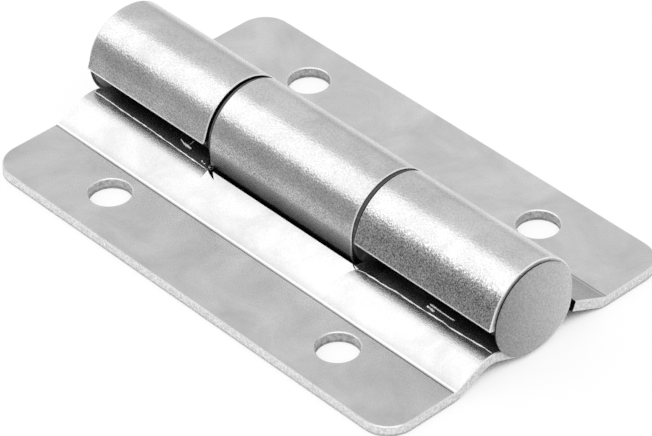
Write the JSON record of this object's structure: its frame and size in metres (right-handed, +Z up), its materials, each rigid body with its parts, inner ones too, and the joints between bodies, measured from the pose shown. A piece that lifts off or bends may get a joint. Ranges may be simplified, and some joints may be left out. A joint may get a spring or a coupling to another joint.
{
  "type": "leaf hinge",
  "caption": "Heavy sheet-metal leaf hinge with a wide rolled barrel, a central knuckle between two outer ones, offset flat leaves and screw holes.",
  "frame": {"origin": "on the mounting plane, straight below the middle of the barrel's axis", "axes": "+X along the barrel towards the near end, +Y towards the rear leaf, +Z up from the mounting plane towards the barrel"},
  "size_m": [0.09, 0.0572, 0.0167],
  "materials": {
    "leaf_steel": "tumbled stainless sheet with fine scratches",
    "pin_steel": "ground",
    "cap_steel": "satin",
    "black_plastic": "smooth black"
  },
  "bodies": {
    "front_half": {"front_leaf": "leaf_steel", "hinge_pin": "pin_steel", "far_sleeve": "black_plastic", "near_sleeve": "black_plastic", "far_end_cap": "cap_steel", "near_end_cap": "cap_steel"},
    "rear_half": {"rear_leaf": "leaf_steel", "far_flanged_bush": "black_plastic", "near_flanged_bush": "black_plastic"}
  },
  "joints": [
    {"name": "leaf_swing", "type": "hinge", "parent": "front_half", "child": "rear_half", "pos_m": [0, 0, 0.0086], "axis": [1, 0, 0], "range_deg": [-105, 205]}
  ]
}
